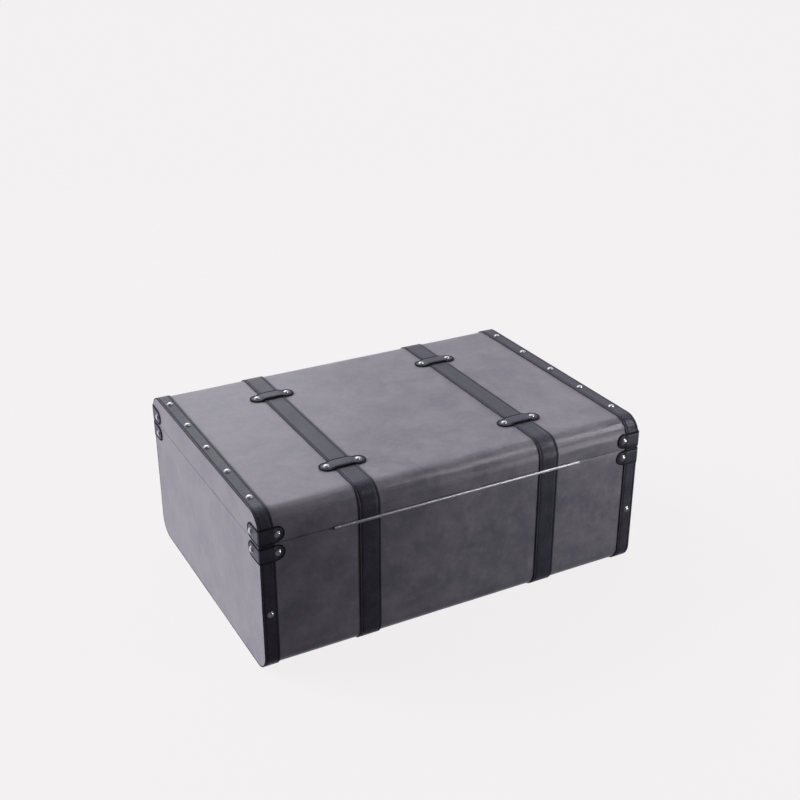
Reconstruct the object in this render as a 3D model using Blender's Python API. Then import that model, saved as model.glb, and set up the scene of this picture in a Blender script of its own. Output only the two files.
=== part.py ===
"""A leather-covered steamer trunk: wooden carcass, glued-on skins, strap-and-stud trim, long rear hinge, front handle.

Axes: +X runs along the trunk, -Y is the front with the handle and closing straps, +Y the back with the hinge, +Z up.
The trunk stands on z = 0. Everything is laid out around the middle of the carcass, and one empty then shifts it all
in Y, so that the origin is the bottom centre of the whole object's box. All sizes are in metres.
"""

from math import cos, pi, radians, sin, sqrt

import bmesh
import bpy
from mathutils import Matrix, Vector

# Driving sizes, over the outside of the covering.
LENGTH = 0.660
DEPTH = 0.465
HEIGHT = 0.265
SEAM_Z = 0.2175  # where the lid parts from the base
CORNER_R = 0.029  # the rounded long edges

# Materials' thicknesses, and the air that touching pieces keep.
FIT = 0.0003
SKIN = 0.0010
WOOD = 0.0090
LINING = 0.0010
LEATHER = 0.0016
TAB_LEATHER = 0.0012
SEAM_GAP = 0.0010

# Leather bands and their studs.
TRIM_WIDTH = 0.024
STRAP_X = 0.1565
STRAP_WIDTH = 0.035
STUD_R = 0.0053
STUD_HEIGHT = 0.0030
STUD_SUNK = 0.0005
TOP_STUD_PITCH = 0.0875
TOP_STUDS = 5
LOW_STUD_Z = 0.103

# Corner tabs, one above and one below the seam at each corner.
TAB_HEIGHT = 0.026
TAB_SETBACK = 0.0020  # from the seam, so that the open lid's tabs clear the base's
TAB_REACH_X = 0.040
TAB_REACH_Y = 0.0375
TAB_STUD_X = 0.028
TAB_STUD_Y = 0.0245

# Keepers, the stitched loops that hold each strap to the top.
KEEPER_LENGTH = 0.077
KEEPER_WIDTH = 0.0255
KEEPER_STUD_X = 0.02625
KEEPER_Y = {"back": 0.1435, "front": -0.1285}
KEEPER_RISE = 0.005
KEEPER_ARCH = 0.0010  # the air between a keeper and its strap

# The continuous hinge.
HINGE_LENGTH = 0.429
KNUCKLES = 17
KNUCKLE_R = 0.0025
KNUCKLE_GAP = 0.0004
PIN_R = 0.0011
BORE_R = 0.00130
LEAF = 0.0008
AXIS_OUT = 0.0020  # the hinge axis stands this far behind the covering
RELIEF_R = 0.0029

# Closing straps at the front, with a buckle each and a magnet behind.
TAIL_WIDTH = 0.031
TAIL_LENGTH = 0.082
TAIL_LEATHER = 0.0018
DISC_R = 0.0085
DISC = 0.0008
MAGNET = 0.0012
DISC_DROP = 0.062
BUCKLE_DROP = 0.034
BUCKLE_WIDTH = 0.043
BUCKLE_HEIGHT = 0.034
BUCKLE_WIRE_R = 0.0016
BUCKLE_CORNER = 0.005
PRONG_R = 0.0011

# The carrying handle at the front.
HANDLE_Z = 0.160
HANDLE_X = 0.062
HANDLE_AXIS_OUT = 0.0078
HANDLE_DROP = 0.0405
GRIP_R = 0.0062
GRIP_STRAIGHT = 0.004  # before the grip starts to bend
EAR = 0.0016
EAR_X = 0.0062
EAR_R = 0.0042
BRACKET_WIDTH = 0.036
BRACKET_HEIGHT = 0.018
FERRULE_R = 0.0055
FERRULE_LENGTH = 0.0145
HANDLE_PIN_R = 0.0014
HANDLE_BORE_R = 0.0017

ARC_STEPS = 6

COVER_BOTTOM = LEATHER + FIT
BAND = (FIT, FIT + LEATHER)  # bands lie between these distances from the covering
TAB = (BAND[1] + FIT, BAND[1] + FIT + TAB_LEATHER)
TAIL = (BAND[1] + FIT, BAND[1] + FIT + TAIL_LEATHER)
WOOD_OUT = -SKIN - FIT
WOOD_IN = WOOD_OUT - WOOD
ARC_Y = DEPTH / 2 - CORNER_R
TOP_ARC_Z = HEIGHT - CORNER_R
LOW_ARC_Z = COVER_BOTTOM + CORNER_R
BASE_TOP = SEAM_Z - SEAM_GAP / 2
LID_BOTTOM = SEAM_Z + SEAM_GAP / 2
END_WOOD_X = (LENGTH / 2 - SKIN - FIT - WOOD, LENGTH / 2 - SKIN - FIT)
INNER_X = END_WOOD_X[0] - FIT
AXIS_Y = DEPTH / 2 + AXIS_OUT
FRONT_Y = -DEPTH / 2
FRONT_REACH = HANDLE_AXIS_OUT + 0.001 + GRIP_R
BACK_REACH = TAB[1] + STUD_HEIGHT
SHIFT_Y = (FRONT_REACH - BACK_REACH) / 2

# ---------------------------------------------------------------- scene, materials and empties


def clear_scene():
    for thing in list(bpy.data.objects):
        bpy.data.objects.remove(thing)


def new_collection(name):
    made = bpy.data.collections.new(name)
    bpy.context.scene.collection.children.link(made)
    return made


def material(name, colour, roughness, metallic=0.0):
    made = bpy.data.materials.new(name)
    made.use_nodes = True
    shader = made.node_tree.nodes["Principled BSDF"]
    shader.inputs["Base Color"].default_value = (*colour, 1.0)
    shader.inputs["Roughness"].default_value = roughness
    shader.inputs["Metallic"].default_value = metallic
    return made


clear_scene()
PARTS = new_collection("steamer_trunk")
CUTTERS = new_collection("cutters")
COVERING = material("covering", (0.20, 0.195, 0.21), 0.45)
TRIM = material("trim", (0.055, 0.053, 0.07), 0.45)
METAL = material("metal", (0.78, 0.78, 0.80), 0.22, 1.0)
WOODEN = material("wood", (0.48, 0.36, 0.24), 0.7)
LINED = material("lining", (0.08, 0.08, 0.09), 0.95)


LAID_OUT_AT = {}  # where each frame stands, by its name


def empty(name, place, parent=None):
    """A joint's frame. Its pieces are parented to it, and it stands on the joint's axis."""
    made = bpy.data.objects.new(name, None)
    PARTS.objects.link(made)
    made.parent = parent
    LAID_OUT_AT[name] = Vector(place)
    made.location = Vector(place) - (LAID_OUT_AT[parent.name] if parent else Vector())
    return made


def add_frames():
    """The trunk's own frame before the shift in Y, and one frame for each joint."""
    trunk = empty("trunk_frame", (0, 0, 0))
    lid = empty("lid_frame", (0, AXIS_Y, SEAM_Z), trunk)
    handle = empty("handle_frame", (0, FRONT_Y - HANDLE_AXIS_OUT, HANDLE_Z), trunk)
    tails = {
        side: empty(f"tail_frame_{side}", (x, FRONT_Y - (TAIL[0] + TAIL[1]) / 2, LID_BOTTOM), lid)
        for side, x in (("left", -STRAP_X), ("right", STRAP_X))
    }
    return trunk, lid, handle, tails


TRUNK_FRAME, LID_FRAME, HANDLE_FRAME, TAIL_FRAMES = add_frames()

# ---------------------------------------------------------------- building blocks


def add_mesh(name, mesh, where=CUTTERS):
    made = bpy.data.objects.new(name, mesh)
    where.objects.link(made)
    if where is CUTTERS:
        made.hide_render = True
        made.display_type = "WIRE"
    return made


def finish(made, look, frame):
    """Turns a shape into a part: its material, its place under its frame, and smooth round faces."""
    for home in list(made.users_collection):
        home.objects.unlink(made)
    PARTS.objects.link(made)
    made.hide_render = False
    made.display_type = "TEXTURED"
    made.data.materials.clear()
    made.data.materials.append(look)
    made.data.shade_smooth()
    made.data.set_sharp_from_angle(angle=radians(35))
    made.parent = frame
    made.matrix_parent_inverse = Matrix.Translation(-LAID_OUT_AT[frame.name])
    return made


TURNS = {
    "X": Matrix(((0, 0, 1, 0), (1, 0, 0, 0), (0, 1, 0, 0), (0, 0, 0, 1))),
    "Y": Matrix(((1, 0, 0, 0), (0, 0, -1, 0), (0, 1, 0, 0), (0, 0, 0, 1))),
    "Z": Matrix.Identity(4),
}


def mesh_of_curve(curve, turn=None):
    """A closed mesh of a curve, with its caps welded and its faces pointing out."""
    holder = bpy.data.objects.new(curve.name, curve)
    CUTTERS.objects.link(holder)
    bpy.context.view_layer.update()
    mesh = bpy.data.meshes.new_from_object(holder.evaluated_get(bpy.context.evaluated_depsgraph_get()))
    bpy.data.objects.remove(holder)
    shape = bmesh.new()
    shape.from_mesh(mesh)
    bmesh.ops.remove_doubles(shape, verts=shape.verts, dist=1e-6)
    bmesh.ops.transform(shape, matrix=turn or Matrix.Identity(4), verts=shape.verts)
    bmesh.ops.recalc_face_normals(shape, faces=shape.faces)
    shape.to_mesh(mesh)
    shape.free()
    return mesh


def prism(name, outlines, axis, low, high):
    """Flat outlines swept along X, Y or Z from low to high. Across X an outline is (y, z), across Y (x, z), across Z (x, y)."""
    curve = bpy.data.curves.new(name, "CURVE")
    curve.dimensions = "2D"
    curve.fill_mode = "BOTH"
    curve.extrude = (high - low) / 2
    for outline in outlines:
        spline = curve.splines.new("POLY")
        spline.points.add(len(outline) - 1)
        for point, (a, b) in zip(spline.points, outline):
            point.co = (a, b, 0, 1)
        spline.use_cyclic_u = True
    middle = (high + low) / 2
    along = Matrix.Translation((0, 0, -middle if axis == "Y" else middle))
    return add_mesh(name, mesh_of_curve(curve, TURNS[axis] @ along))


def box(name, low, high):
    outline = [(low[0], low[1]), (high[0], low[1]), (high[0], high[1]), (low[0], high[1])]
    return prism(name, [outline], "Z", low[2], high[2])


def rods(name, radius, spans, place, segments=12):
    """Round bars along X, one for each (low, high) in spans, on the axis through place = (y, z)."""
    shape = bmesh.new()
    for low, high in spans:
        turn = Matrix.Translation(((low + high) / 2, *place)) @ Matrix.Rotation(pi / 2, 4, "Y")
        bmesh.ops.create_cone(
            shape, cap_ends=True, segments=segments, radius1=radius, radius2=radius, depth=high - low, matrix=turn
        )
    mesh = bpy.data.meshes.new(name)
    shape.to_mesh(mesh)
    shape.free()
    return add_mesh(name, mesh)


def disc(name, radius, place, depth):
    """A round plate facing front and back, centred on place."""
    shape = bmesh.new()
    turn = Matrix.Translation(place) @ Matrix.Rotation(pi / 2, 4, "X")
    bmesh.ops.create_cone(shape, cap_ends=True, segments=20, radius1=radius, radius2=radius, depth=depth, matrix=turn)
    mesh = bpy.data.meshes.new(name)
    shape.to_mesh(mesh)
    shape.free()
    return add_mesh(name, mesh)


def domes(name, seats):
    """Stud heads. Each seat is (place on the leather's surface, outward direction)."""
    shape = bmesh.new()
    for place, out in seats:
        one = bmesh.new()
        bmesh.ops.create_uvsphere(one, u_segments=12, v_segments=6, radius=STUD_R)
        bmesh.ops.scale(one, vec=(1, 1, (STUD_HEIGHT + STUD_SUNK) / STUD_R), verts=one.verts)
        whole = one.verts[:] + one.edges[:] + one.faces[:]
        bmesh.ops.bisect_plane(one, geom=whole, plane_co=(0, 0, 0), plane_no=(0, 0, 1), clear_inner=True)
        bmesh.ops.holes_fill(one, edges=one.edges)
        turn = Vector(out).to_track_quat("Z", "Y").to_matrix().to_4x4()
        sink = Matrix.Translation(Vector(place) - Vector(out) * STUD_SUNK)
        bmesh.ops.transform(one, matrix=sink @ turn, verts=one.verts)
        piece = bpy.data.meshes.new("dome")
        one.to_mesh(piece)
        one.free()
        shape.from_mesh(piece)
        bpy.data.meshes.remove(piece)
    bmesh.ops.recalc_face_normals(shape, faces=shape.faces)
    mesh = bpy.data.meshes.new(name)
    shape.to_mesh(mesh)
    shape.free()
    return add_mesh(name, mesh)


def combine(target, other, operation):
    """Adds a Boolean and applies it, so that later shapes can be built on the result."""
    step = target.modifiers.new(operation.lower(), "BOOLEAN")
    step.operation = operation
    step.object = other
    step.solver = "EXACT"
    bpy.context.view_layer.update()
    result = bpy.data.meshes.new_from_object(target.evaluated_get(bpy.context.evaluated_depsgraph_get()))
    target.modifiers.remove(step)
    target.data = result
    bpy.data.objects.remove(other)
    return target


def arc(centre, radius, start, end, steps=ARC_STEPS):
    """Points of an arc, both ends included, with angles in degrees."""
    angles = [radians(start + (end - start) * i / steps) for i in range(steps + 1)]
    return [(centre[0] + radius * cos(a), centre[1] + radius * sin(a)) for a in angles]


def lid_path(offset, end_z):
    """The trunk's section above end_z, from back to front, at this distance outside the covering."""
    y = DEPTH / 2 + offset
    over = arc((ARC_Y, TOP_ARC_Z), CORNER_R + offset, 0, 90) + arc((-ARC_Y, TOP_ARC_Z), CORNER_R + offset, 90, 180)
    return [(y, end_z), *over, (-y, end_z)]


def base_path(offset, end_z):
    """The same below end_z, from front to back."""
    y = DEPTH / 2 + offset
    under = arc((-ARC_Y, LOW_ARC_Z), CORNER_R + offset, 180, 270) + arc((ARC_Y, LOW_ARC_Z), CORNER_R + offset, 270, 360)
    return [(-y, end_z), *under, (y, end_z)]


def band(name, path, layer, end_z, x_range):
    """A strip of even thickness that follows the section."""
    return prism(name, [path(layer[1], end_z) + path(layer[0], end_z)[::-1]], "X", *x_range)


def sides():
    """(name, sign along X) of the two ends."""
    return (("left", -1), ("right", 1))


def span(sign, near, far):
    return tuple(sorted((sign * near, sign * far)))


# ---------------------------------------------------------------- carcass


def add_base_carcass():
    for side, sign in sides():
        panel = prism(f"base_end_panel_{side}", [base_path(WOOD_OUT, BASE_TOP)], "X", *span(sign, *END_WOOD_X))
        finish(panel, WOODEN, TRUNK_FRAME)
    x = (-INNER_X, INNER_X)
    inner, outer = DEPTH / 2 + WOOD_IN, DEPTH / 2 + WOOD_OUT
    for face, sign in (("front", -1), ("back", 1)):
        y = span(sign, inner, outer)
        panel = box(f"base_{face}_panel", (x[0], y[0], LOW_ARC_Z + FIT), (x[1], y[1], BASE_TOP))
        if face == "back":
            combine(panel, hinge_mortise(), "DIFFERENCE")
        finish(panel, WOODEN, TRUNK_FRAME)
        curve = arc((ARC_Y, LOW_ARC_Z), CORNER_R + WOOD_OUT, 0, -90)
        corner = curve + [(ARC_Y, COVER_BOTTOM - WOOD_IN), (inner, LOW_ARC_Z)]
        moulding = prism(f"base_{face}_corner_moulding", [[(sign * a, b) for a, b in corner]], "X", *x)
        finish(moulding, WOODEN, TRUNK_FRAME)
    low = (x[0], -ARC_Y + FIT, COVER_BOTTOM - WOOD_OUT)
    finish(box("base_bottom_panel", low, (x[1], ARC_Y - FIT, COVER_BOTTOM - WOOD_IN)), WOODEN, TRUNK_FRAME)


def add_lid_carcass():
    for side, sign in sides():
        panel = prism(f"lid_end_panel_{side}", [lid_path(WOOD_OUT, LID_BOTTOM)], "X", *span(sign, *END_WOOD_X))
        finish(panel, WOODEN, LID_FRAME)
    x = (-INNER_X, INNER_X)
    inner, outer = DEPTH / 2 + WOOD_IN, DEPTH / 2 + WOOD_OUT
    for face, sign in (("front", -1), ("back", 1)):
        curve = arc((ARC_Y, TOP_ARC_Z), CORNER_R + WOOD_OUT, 0, 90)
        inside = [(ARC_Y, HEIGHT + WOOD_IN), (inner, TOP_ARC_Z), (inner, LID_BOTTOM)]
        outline = [(outer, LID_BOTTOM), *curve, *inside]
        rail = prism(f"lid_{face}_rail", [[(sign * a, b) for a, b in outline]], "X", *x)
        if face == "back":
            combine(rail, hinge_mortise(), "DIFFERENCE")
        finish(rail, WOODEN, LID_FRAME)
    low = (x[0], -ARC_Y + FIT, HEIGHT + WOOD_IN)
    finish(box("lid_top_panel", low, (x[1], ARC_Y - FIT, HEIGHT + WOOD_OUT)), WOODEN, LID_FRAME)


def hinge_mortise():
    """The shallow recess for both leaves, in the meeting edges above and below the seam."""
    half, deep = HINGE_LENGTH / 2 + FIT, LEAF + 2 * FIT
    low = (-half, DEPTH / 2 + WOOD_IN - SKIN, SEAM_Z - deep)
    return box("hinge_mortise", low, (half, AXIS_Y, SEAM_Z + deep))


def hinge_relief():
    half = HINGE_LENGTH / 2 + FIT
    return rods("hinge_relief", RELIEF_R, [(-half, half)], (AXIS_Y, SEAM_Z), segments=16)


# ---------------------------------------------------------------- covering and lining


def add_covering():
    for part, path, end_z, frame in (
        ("base", base_path, BASE_TOP, TRUNK_FRAME),
        ("lid", lid_path, LID_BOTTOM, LID_FRAME),
    ):
        wrap_x = LENGTH / 2 - SKIN - FIT
        wrap = band(f"{part}_wrap_covering", path, (-SKIN, 0), end_z, (-wrap_x, wrap_x))
        combine(wrap, hinge_mortise(), "DIFFERENCE")
        combine(wrap, hinge_relief(), "DIFFERENCE")
        finish(wrap, COVERING, frame)
        for side, sign in sides():
            end = prism(
                f"{part}_end_covering_{side}", [path(0, end_z)], "X", *span(sign, LENGTH / 2 - SKIN, LENGTH / 2)
            )
            finish(end, COVERING, frame)


def cavity_outline(inset, mouth_z, floor_z, arc_z):
    """The inside of the wood, less inset, with its two slanted corners. The mouth is at mouth_z."""
    up = 1 if mouth_z > floor_z else -1
    inner = DEPTH / 2 + WOOD_IN
    y = inner - inset
    floor = floor_z + up * inset
    slant = inner - up * arc_z - inset * sqrt(2)  # y minus the height, along the slanted face
    side_z = up * (y - slant)
    floor_y = up * floor + slant
    return [(y, mouth_z), (y, side_z), (floor_y, floor), (-floor_y, floor), (-y, side_z), (-y, mouth_z)]


def add_linings():
    for part, mouth, floor, arc_z, frame in (
        ("base", BASE_TOP - FIT, COVER_BOTTOM - WOOD_IN, LOW_ARC_Z, TRUNK_FRAME),
        ("lid", LID_BOTTOM + FIT, HEIGHT + WOOD_IN, TOP_ARC_Z, LID_FRAME),
    ):
        x = INNER_X - FIT
        lining = prism(f"{part}_lining", [cavity_outline(FIT, mouth, floor, arc_z)], "X", -x, x)
        beyond = mouth + (0.01 if mouth > floor else -0.01)
        room = cavity_outline(FIT + LINING, beyond, floor, arc_z)
        combine(lining, prism("room", [room], "X", LINING - x, x - LINING), "DIFFERENCE")
        finish(lining, LINED, frame)


# ---------------------------------------------------------------- bands, tabs and keepers


def add_edge_trims():
    """A band round each end, nailed with studs along the top and one low stud on the front and the back."""
    for side, sign in sides():
        x_range = span(sign, LENGTH / 2 - TRIM_WIDTH, LENGTH / 2)
        x = sign * (LENGTH / 2 - TRIM_WIDTH / 2)
        lid = band(f"lid_edge_trim_{side}", lid_path, BAND, LID_BOTTOM, x_range)
        first = -TOP_STUD_PITCH * (TOP_STUDS - 1) / 2
        rows = [first + TOP_STUD_PITCH * i for i in range(TOP_STUDS)]
        combine(lid, domes("top_studs", [((x, y, HEIGHT + BAND[1]), (0, 0, 1)) for y in rows]), "UNION")
        finish(lid, TRIM, LID_FRAME)
        base = band(f"base_edge_trim_{side}", base_path, BAND, BASE_TOP, x_range)
        y = DEPTH / 2 + BAND[1]
        combine(base, domes("low_studs", [((x, s * y, LOW_STUD_Z), (0, s, 0)) for s in (-1, 1)]), "UNION")
        finish(base, TRIM, TRUNK_FRAME)


def rounded_leg(tip, corner, low, high):
    """The outline of a tab's leg, seen square on: round at its tip and running past the corner."""
    radius = (high - low) / 2
    inward = 1 if corner > tip else -1
    centre = (tip + inward * radius, (low + high) / 2)
    turn = arc(centre, radius, 90 if inward > 0 else -90, 270 if inward > 0 else 90, 10)
    past = corner + inward * 0.01
    return turn + [(past, turn[-1][1]), (past, turn[0][1])]


def corner_tab(name, sign_x, sign_y, low):
    """A leather tab that wraps a vertical corner, with a round end and a stud on each face."""
    high = low + TAB_HEIGHT
    end, back = LENGTH / 2, DEPTH / 2
    inner = [(end - TAB_REACH_X, back + TAB[0]), (end + FIT, back + TAB[0]), (end + FIT, back - TAB_REACH_Y)]
    bend = arc((end + FIT, back + TAB[0]), TAB_LEATHER, 0, 90, 3)
    outer = [(end + FIT + TAB_LEATHER, back - TAB_REACH_Y), *bend, (end - TAB_REACH_X, back + TAB[1])]
    plan = [(sign_x * a, sign_y * b) for a, b in inner + outer]
    tab = prism(name, [plan], "Z", low, high)
    leg = rounded_leg(sign_x * (end - TAB_REACH_X), sign_x * end, low, high)
    combine(tab, prism("leg_x", [leg], "Y", -0.3, 0.3), "INTERSECT")
    leg = rounded_leg(sign_y * (back - TAB_REACH_Y), sign_y * (back + TAB[1]), low, high)
    combine(tab, prism("leg_y", [leg], "X", -0.4, 0.4), "INTERSECT")
    middle = (low + high) / 2
    seats = [
        ((sign_x * (end - TAB_STUD_X), sign_y * (back + TAB[1]), middle), (0, sign_y, 0)),
        ((sign_x * (end + FIT + TAB_LEATHER), sign_y * (back - TAB_STUD_Y), middle), (sign_x, 0, 0)),
    ]
    return combine(tab, domes("tab_studs", seats), "UNION")


def add_corner_tabs():
    for side, sign_x in sides():
        for face, sign_y in (("front", -1), ("back", 1)):
            lid = corner_tab(f"lid_corner_tab_{face}_{side}", sign_x, sign_y, SEAM_Z + TAB_SETBACK)
            finish(lid, TRIM, LID_FRAME)
            base = corner_tab(f"base_corner_tab_{face}_{side}", sign_x, sign_y, SEAM_Z - TAB_SETBACK - TAB_HEIGHT)
            finish(base, TRIM, TRUNK_FRAME)


def add_straps():
    for side, sign in sides():
        x_range = span(sign, STRAP_X - STRAP_WIDTH / 2, STRAP_X + STRAP_WIDTH / 2)
        lid = band(f"lid_strap_{side}", lid_path, BAND, LID_BOTTOM, x_range)
        combine(lid, hinge_relief(), "DIFFERENCE")
        finish(lid, TRIM, LID_FRAME)
        base = band(f"base_strap_{side}", base_path, BAND, BASE_TOP, x_range)
        combine(base, hinge_relief(), "DIFFERENCE")
        pocket = disc("magnet_pocket", DISC_R + FIT, (sign * STRAP_X, FRONT_Y, SEAM_Z - DISC_DROP), 0.01)
        combine(base, pocket, "DIFFERENCE")
        finish(base, TRIM, TRUNK_FRAME)


def keeper(name, x, y):
    """A leather loop over the strap: flat at both ends, arched in the middle, round-ended, with two studs."""
    half, flat = KEEPER_LENGTH / 2, STRAP_WIDTH / 2 + FIT
    low, over = HEIGHT + FIT, HEIGHT + BAND[1] + KEEPER_ARCH
    under = [(-half, low), (-flat - KEEPER_RISE, low), (-flat, over), (flat, over), (flat + KEEPER_RISE, low), (half, low)]
    above = [(a, b + LEATHER) for a, b in reversed(under)]
    loop = prism(name, [[(x + a, b) for a, b in under + above]], "Y", y - KEEPER_WIDTH / 2, y + KEEPER_WIDTH / 2)
    radius = KEEPER_WIDTH / 2
    ends = arc((x + half - radius, y), radius, -90, 90, 10) + arc((x - half + radius, y), radius, 90, 270, 10)
    combine(loop, prism("ends", [ends], "Z", HEIGHT - 0.01, HEIGHT + 0.02), "INTERSECT")
    seats = [((x + s * KEEPER_STUD_X, y, low + LEATHER), (0, 0, 1)) for s in (-1, 1)]
    return combine(loop, domes("keeper_studs", seats), "UNION")


def add_keepers():
    for side, sign in sides():
        for place, y in KEEPER_Y.items():
            finish(keeper(f"{place}_keeper_{side}", sign * STRAP_X, y), TRIM, LID_FRAME)


# ---------------------------------------------------------------- hinge


def knuckle_spans(first):
    """The X ranges of every other knuckle, from knuckle number first."""
    pitch = HINGE_LENGTH / KNUCKLES
    starts = [-HINGE_LENGTH / 2 + pitch * i for i in range(first, KNUCKLES, 2)]
    return [(start + KNUCKLE_GAP / 2, start + pitch - KNUCKLE_GAP / 2) for start in starts]


def hinge_leaf(name, first, low_z):
    """A plate along the meeting edge, with fingers out to its own knuckles, which are bored for the pin."""
    half = HINGE_LENGTH / 2
    inner_y, root_y = DEPTH / 2 + WOOD_IN, AXIS_Y - RELIEF_R
    leaf = box(name, (-half, inner_y, low_z), (half, root_y, low_z + LEAF))
    spans = knuckle_spans(first)
    for number, (low, high) in enumerate(spans):
        finger = box(f"finger_{number}", (low, root_y - 0.001, low_z), (high, AXIS_Y, low_z + LEAF))
        combine(leaf, finger, "UNION")
    combine(leaf, rods("knuckles", KNUCKLE_R, spans, (AXIS_Y, SEAM_Z)), "UNION")
    bore = rods("bore", BORE_R, [(-half - 0.01, half + 0.01)], (AXIS_Y, SEAM_Z))
    return combine(leaf, bore, "DIFFERENCE")


def add_hinge():
    finish(hinge_leaf("hinge_base_leaf", 0, SEAM_Z - FIT - LEAF), METAL, TRUNK_FRAME)
    finish(hinge_leaf("hinge_lid_leaf", 1, SEAM_Z + FIT), METAL, LID_FRAME)
    pin = rods("hinge_pin", PIN_R, [(-HINGE_LENGTH / 2, HINGE_LENGTH / 2)], (AXIS_Y, SEAM_Z))
    finish(pin, METAL, TRUNK_FRAME)


# ---------------------------------------------------------------- closing straps and buckles


def wire(name, points, radius, cyclic=False, resolution=2):
    """A round wire along straight or curved runs of points."""
    curve = bpy.data.curves.new(name, "CURVE")
    curve.dimensions = "3D"
    curve.bevel_depth = radius
    curve.bevel_resolution = resolution
    curve.use_fill_caps = not cyclic
    spline = curve.splines.new("POLY")
    spline.points.add(len(points) - 1)
    for point, place in zip(spline.points, points):
        point.co = (*place, 1)
    spline.use_cyclic_u = cyclic
    return add_mesh(name, mesh_of_curve(curve))


def add_closing_strap(side, x, frame):
    """The strap's loose end: a leather tongue that hangs over the seam and sticks to a magnet in the base strap."""
    near, far = FRONT_Y - TAIL[1], FRONT_Y - TAIL[0]
    radius = TAIL_WIDTH / 2
    tip = arc((x, LID_BOTTOM - TAIL_LENGTH + radius), radius, 180, 360, 10)
    tongue = prism(f"closing_strap_{side}", [tip + [(x + radius, LID_BOTTOM), (x - radius, LID_BOTTOM)]], "Y", near, far)
    disc_z = SEAM_Z - DISC_DROP
    pocket = disc("plate_pocket", DISC_R + FIT, (x, far, disc_z), 2 * (DISC + FIT))
    combine(tongue, pocket, "DIFFERENCE")
    finish(tongue, TRIM, frame)
    finish(disc(f"magnet_plate_{side}", DISC_R, (x, far - DISC / 2, disc_z), DISC), METAL, frame)
    magnet_y = FRONT_Y - BAND[1] + MAGNET / 2
    finish(disc(f"closure_magnet_{side}", DISC_R, (x, magnet_y, disc_z), MAGNET), METAL, TRUNK_FRAME)


def add_buckle(side, x, frame):
    """A wire frame with rounded corners that lies on the tongue, and the prong across it."""
    middle = SEAM_Z - BUCKLE_DROP
    y = FRONT_Y - TAIL[1] - FIT - BUCKLE_WIRE_R
    across, up, corner = BUCKLE_WIDTH / 2, BUCKLE_HEIGHT / 2, BUCKLE_CORNER
    points = []
    for quarter, (sx, sz) in enumerate(((1, 1), (-1, 1), (-1, -1), (1, -1))):
        centre = (x + sx * (across - corner), middle + sz * (up - corner))
        points += arc(centre, corner, 90 * quarter, 90 * quarter + 90, 4)
    frame_wire = wire(f"buckle_frame_{side}", [(a, y, b) for a, b in points], BUCKLE_WIRE_R, cyclic=True)
    finish(frame_wire, METAL, frame)
    lies = y - BUCKLE_WIRE_R - FIT - PRONG_R
    tip, heel = middle - up - 0.001, middle + up
    finish(wire(f"buckle_prong_{side}", [(x, lies, heel), (x, lies, tip)], PRONG_R), METAL, frame)


# ---------------------------------------------------------------- handle


def handle_bracket(name, x):
    """A plate on the front with two bored ears."""
    axis_y = FRONT_Y - HANDLE_AXIS_OUT
    face = FRONT_Y - FIT
    low = (x - BRACKET_WIDTH / 2, face - EAR, HANDLE_Z - BRACKET_HEIGHT / 2)
    bracket = box(name, low, (x + BRACKET_WIDTH / 2, face, HANDLE_Z + BRACKET_HEIGHT / 2))
    for s in (-1, 1):
        round_end = arc((axis_y, HANDLE_Z), EAR_R, 90, 270, 8)
        outline = round_end + [(face - EAR / 2, HANDLE_Z - EAR_R), (face - EAR / 2, HANDLE_Z + EAR_R)]
        middle = x + s * EAR_X
        combine(bracket, prism("ear", [outline], "X", middle - EAR / 2, middle + EAR / 2), "UNION")
    bore = rods("ear_bore", HANDLE_BORE_R, [(x - 0.02, x + 0.02)], (axis_y, HANDLE_Z))
    return combine(bracket, bore, "DIFFERENCE")


def handle_cap(name, x):
    """The metal end of the handle: an eye on the pin, and a ferrule that takes the leather grip."""
    axis_y = FRONT_Y - HANDLE_AXIS_OUT
    half = EAR_X - EAR / 2 - FIT
    cap = rods(name, EAR_R - FIT, [(x - half, x + half)], (axis_y, HANDLE_Z), segments=16)
    ferrule = wire("ferrule", [(x, axis_y, HANDLE_Z - 0.002), (x, axis_y, HANDLE_Z - FERRULE_LENGTH)], FERRULE_R)
    eye_room = rods("eye_bore", HANDLE_BORE_R, [(x - 0.02, x + 0.02)], (axis_y, HANDLE_Z))
    clear_of_ears = box(
        "between_ears", (x - half, axis_y - 0.01, HANDLE_Z - 0.008), (x + half, axis_y + 0.01, HANDLE_Z + 0.01)
    )
    below_ears = box(
        "below_ears", (x - 0.01, axis_y - 0.01, HANDLE_Z - 0.02), (x + 0.01, axis_y + 0.01, HANDLE_Z - 0.0072)
    )
    combine(cap, ferrule, "UNION")
    combine(clear_of_ears, below_ears, "UNION")
    combine(cap, clear_of_ears, "INTERSECT")
    return combine(cap, eye_room, "DIFFERENCE")


def grip_line():
    """The grip's middle line: straight down out of one ferrule, round a bend, across, and up into the other."""
    top = HANDLE_Z - FERRULE_LENGTH - FIT
    low = HANDLE_Z - HANDLE_DROP
    bend = top - GRIP_STRAIGHT - low
    turn_in = arc((-HANDLE_X + bend, low + bend), bend, 180, 270)
    half = [(-HANDLE_X, top), *turn_in]
    y = FRONT_Y - HANDLE_AXIS_OUT - 0.001
    return [(a, y, b) for a, b in half] + [(-a, y, b) for a, b in reversed(half)]


def add_handle():
    for side, sign in sides():
        x = sign * HANDLE_X
        finish(handle_bracket(f"handle_bracket_{side}", x), METAL, TRUNK_FRAME)
        reach = EAR_X + EAR / 2 + 0.001
        pin = rods(
            f"handle_pin_{side}", HANDLE_PIN_R, [(x - reach, x + reach)], (FRONT_Y - HANDLE_AXIS_OUT, HANDLE_Z)
        )
        finish(pin, METAL, TRUNK_FRAME)
        finish(handle_cap(f"handle_cap_{side}", x), METAL, HANDLE_FRAME)
    finish(wire("handle_grip", grip_line(), GRIP_R, resolution=3), TRIM, HANDLE_FRAME)


# ---------------------------------------------------------------- the trunk


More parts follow.
